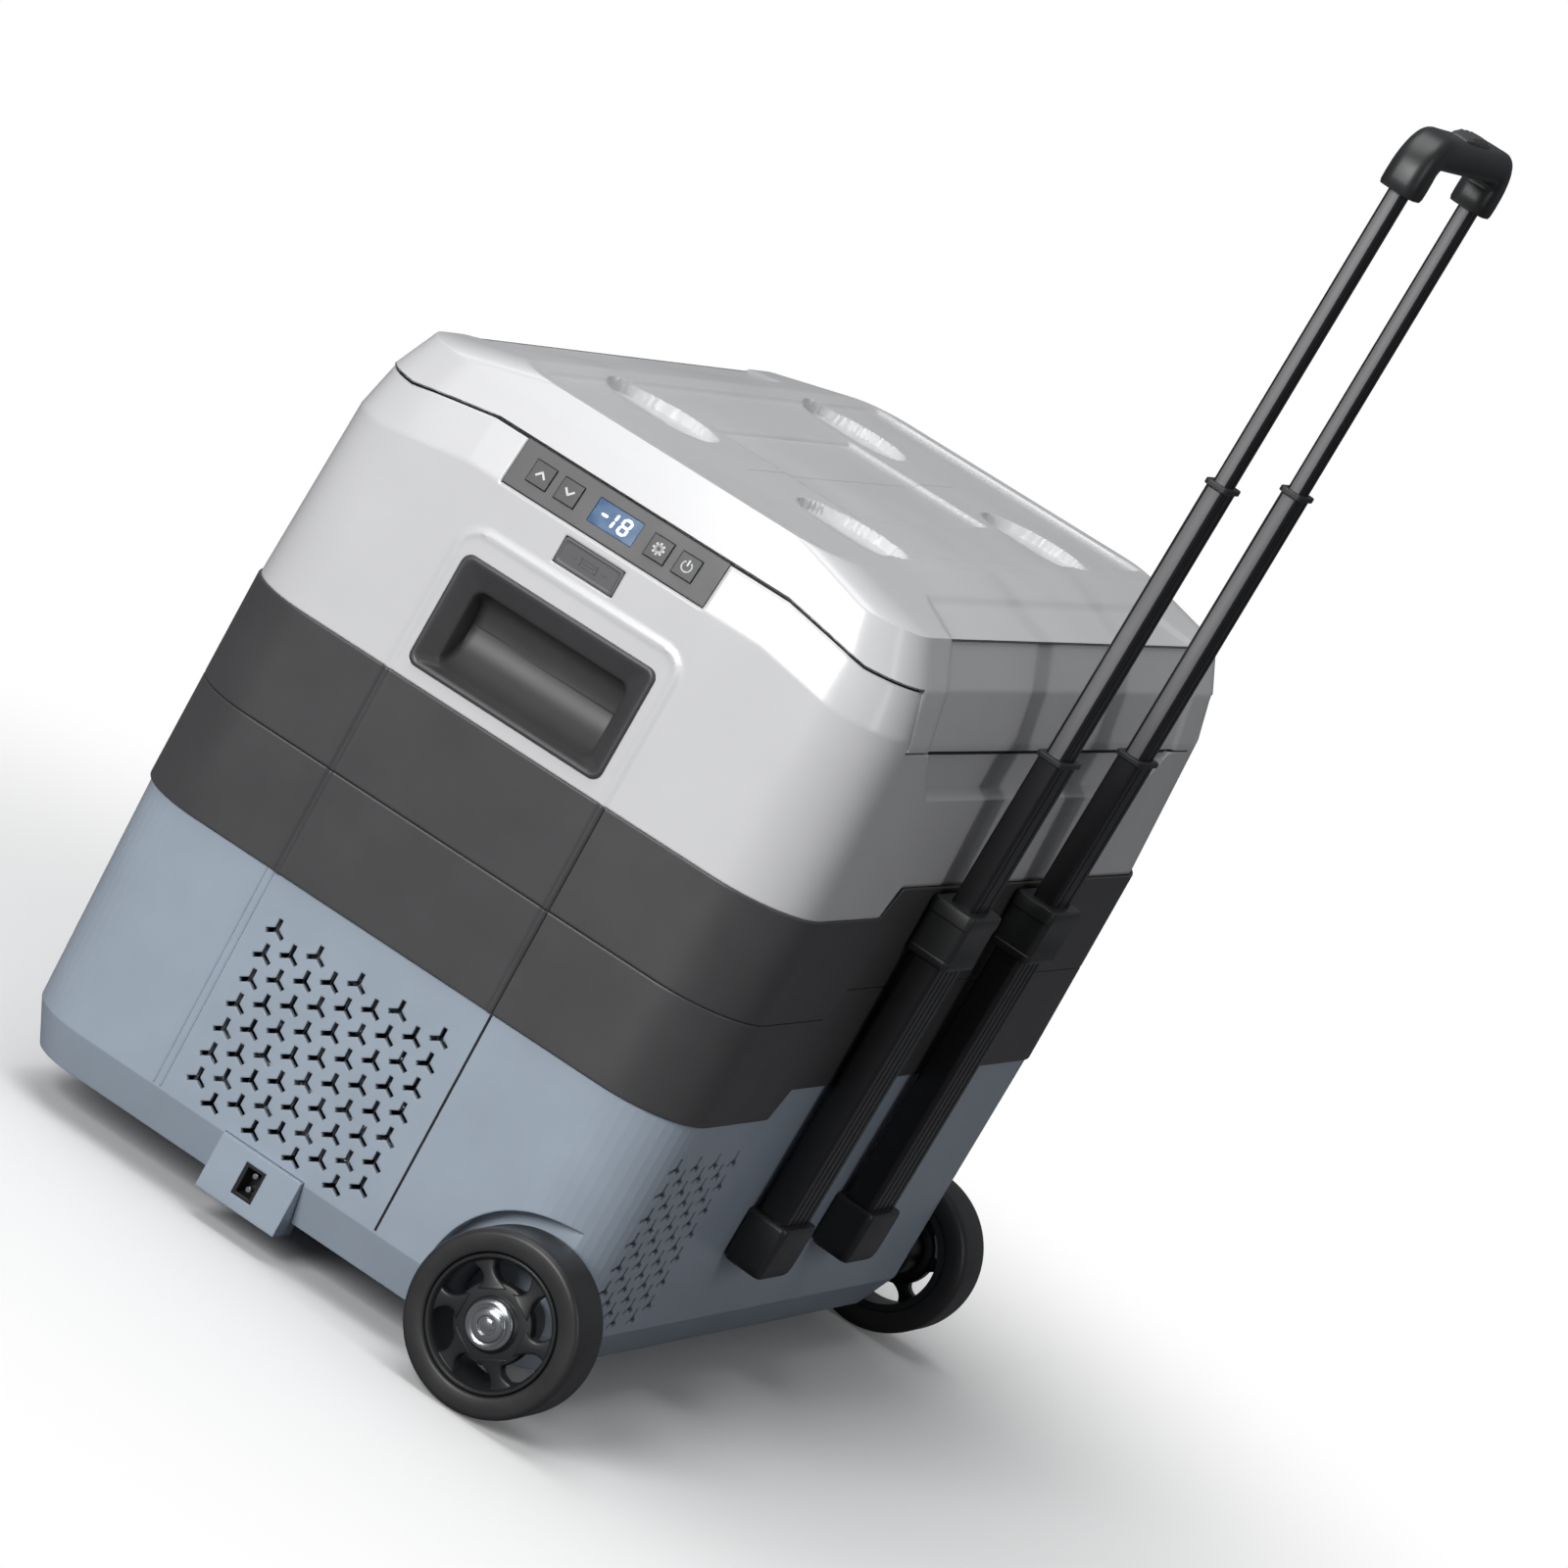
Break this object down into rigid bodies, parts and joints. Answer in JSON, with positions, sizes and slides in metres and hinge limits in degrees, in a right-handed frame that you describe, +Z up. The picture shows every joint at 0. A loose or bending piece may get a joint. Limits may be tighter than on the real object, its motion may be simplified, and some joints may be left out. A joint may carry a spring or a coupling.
{
  "type": "compressor cooler fridge",
  "caption": "Wheeled portable compressor cooler: banded plastic cabinet with a hinged lid, front controls, a cold tub over a compressor bay and a telescopic pull handle.",
  "frame": {"origin": "on the floor, below the middle of the whole outline with the trolley extended", "axes": "+Z up, -Y out of the front face with the controls, +X towards the trolley handle"},
  "size_m": [0.4046, 0.6404, 0.808],
  "materials": {
    "shell_pearl": "satin",
    "band_grey": "fine texture",
    "base_blue_grey": "satin",
    "trim_dark": "fine texture",
    "liner_white": "satin",
    "foam": "foamed",
    "steel": "satin",
    "aluminium": "satin",
    "copper": "dull",
    "black_paint": "satin",
    "rubber": "matt",
    "display": "gloss",
    "board": "satin",
    "black_plastic": "satin",
    "tube_grey": "anodised",
    "hub_silver": "satin"
  },
  "bodies": {
    "cabinet": {"lower_housing": "base_blue_grey", "lower_band": "band_grey", "upper_band": "band_grey", "upper_housing": "shell_pearl", "inner_tub": "liner_white", "insulation": "foam", "evaporator": "aluminium", "base_tray": "steel", "base_screws": "steel", "rubber_feet": "rubber", "compressor": "black_paint", "compressor_feet": "rubber", "condenser": "aluminium", "fan_frame": "black_plastic", "power_module": "aluminium", "filter_drier": "copper", "refrigerant_pipes": "copper", "handle_insert_front": "trim_dark", "handle_insert_rear": "trim_dark", "control_panel": "trim_dark", "display_window": "display", "control_board": "board", "usb_socket": "steel", "inlet_housing": "base_blue_grey", "dc_socket": "black_plastic", "dc_pins": "steel", "hinge_pins": "steel", "axle": "steel", "leg_caps": "black_plastic", "outer_tubes": "tube_grey", "leg_collars": "black_plastic", "hub_caps": "hub_silver"},
    "lid": {"lid_shell": "shell_pearl", "lid_liner": "liner_white", "lid_foam": "foam", "lid_seal": "rubber"},
    "wheel_front": {"tyre_front": "rubber", "rim_front": "black_plastic"},
    "wheel_rear": {"tyre_rear": "rubber", "rim_rear": "black_plastic"},
    "fan": {"fan_rotor": "black_plastic"},
    "up_button": {"button_up": "black_plastic"},
    "down_button": {"button_down": "black_plastic"},
    "settings_button": {"button_settings": "black_plastic"},
    "power_button": {"button_power": "black_plastic"},
    "usb_flap": {"usb_cover": "rubber"},
    "trolley_lower": {"first_stage_tubes": "tube_grey"},
    "trolley_middle": {"second_stage_tubes": "tube_grey"},
    "trolley_upper": {"third_stage_tubes": "tube_grey", "trolley_grip": "black_plastic"},
    "trolley_release": {"release_button": "black_plastic", "release_rods": "steel"}
  },
  "joints": [
    {"name": "lid_hinge", "type": "hinge", "parent": "cabinet", "child": "lid", "pos_m": [-0.1928, 0, 0.407], "axis": [0, -1, 0], "range_deg": [0, 95]},
    {"name": "wheel_front_spin", "type": "hinge", "parent": "cabinet", "child": "wheel_front", "pos_m": [0.1352, -0.2975, 0.05], "axis": [0, 1, 0], "continuous": true},
    {"name": "wheel_rear_spin", "type": "hinge", "parent": "cabinet", "child": "wheel_rear", "pos_m": [0.1352, 0.2975, 0.05], "axis": [0, 1, 0], "continuous": true},
    {"name": "fan_spin", "type": "hinge", "parent": "cabinet", "child": "fan", "pos_m": [-0.0278, -0.2385, 0.107], "axis": [0, 1, 0], "continuous": true},
    {"name": "up_press", "type": "slide", "parent": "cabinet", "child": "up_button", "axis": [0, 0.9722, -0.2341], "range_m": [0, 0.0008], "stiffness_N_per_m": 400, "springref_m": -0.001},
    {"name": "down_press", "type": "slide", "parent": "cabinet", "child": "down_button", "axis": [0, 0.9722, -0.2341], "range_m": [0, 0.0008], "stiffness_N_per_m": 400, "springref_m": -0.001},
    {"name": "settings_press", "type": "slide", "parent": "cabinet", "child": "settings_button", "axis": [0, 0.9722, -0.2341], "range_m": [0, 0.0008], "stiffness_N_per_m": 400, "springref_m": -0.001},
    {"name": "power_press", "type": "slide", "parent": "cabinet", "child": "power_button", "axis": [0, 0.9722, -0.2341], "range_m": [0, 0.0008], "stiffness_N_per_m": 400, "springref_m": -0.001},
    {"name": "usb_flap_hinge", "type": "hinge", "parent": "cabinet", "child": "usb_flap", "pos_m": [-0.0278, -0.28466, 0.39952], "axis": [1, 0, 0], "range_deg": [0, 120]},
    {"name": "lower_stage_slide", "type": "slide", "parent": "cabinet", "child": "trolley_lower", "axis": [0.0279, 0, 0.9996], "range_m": [-0.09, 0]},
    {"name": "middle_stage_slide", "type": "slide", "parent": "trolley_lower", "child": "trolley_middle", "axis": [0.0279, 0, 0.9996], "range_m": [-0.166, 0]},
    {"name": "upper_stage_slide", "type": "slide", "parent": "trolley_middle", "child": "trolley_upper", "axis": [0.0279, 0, 0.9996], "range_m": [-0.178, 0]},
    {"name": "release_press", "type": "slide", "parent": "trolley_upper", "child": "trolley_release", "axis": [0.0279, 0, 0.9996], "range_m": [-0.004, 0], "stiffness_N_per_m": 500, "springref_m": 0.003}
  ]
}
